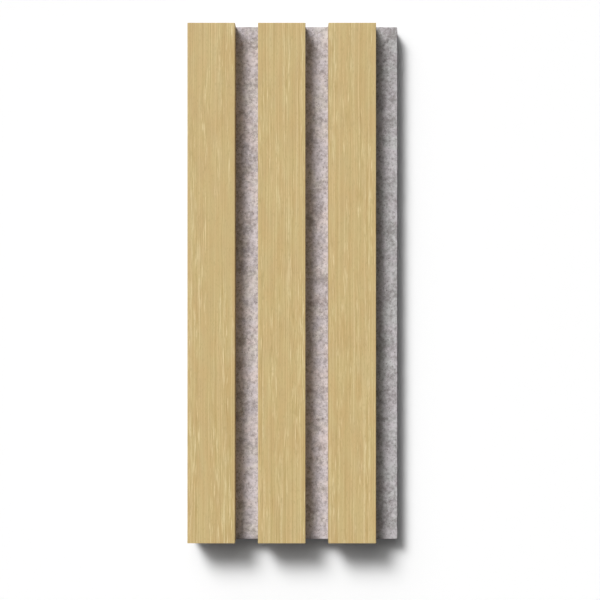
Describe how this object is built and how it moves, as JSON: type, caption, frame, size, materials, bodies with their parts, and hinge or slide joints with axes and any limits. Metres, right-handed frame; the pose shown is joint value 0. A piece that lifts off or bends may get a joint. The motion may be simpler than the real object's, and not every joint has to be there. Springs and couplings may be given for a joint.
{
  "type": "acoustic slat wall panel",
  "caption": "Acoustic wall panel: parallel oak-veneered slats with even gaps, stapled to a grey felt board that shows past the last slat for the joint with the next panel.",
  "frame": {"origin": "middle of the felt board's back face, which lies against the wall", "axes": "+X across the slats, to the right seen from the front; +Y along the slats; +Z out of the wall"},
  "size_m": [0.12, 0.295, 0.024],
  "materials": {
    "oak_veneer": "matt lacquered oak veneer",
    "mdf": "sawn fibreboard",
    "grey_felt": "pressed mottled grey felt",
    "staple_wire": "galvanised flat wire"
  },
  "bodies": {
    "root": {"felt_backing": "grey_felt", "slat_core_1": "mdf", "slat_core_2": "mdf", "slat_core_3": "mdf", "slat_veneer_1": "oak_veneer", "slat_veneer_2": "oak_veneer", "slat_veneer_3": "oak_veneer", "staple_1_1": "staple_wire", "staple_1_2": "staple_wire", "staple_1_3": "staple_wire", "staple_2_1": "staple_wire", "staple_2_2": "staple_wire", "staple_2_3": "staple_wire", "staple_3_1": "staple_wire", "staple_3_2": "staple_wire", "staple_3_3": "staple_wire"}
  },
  "joints": []
}
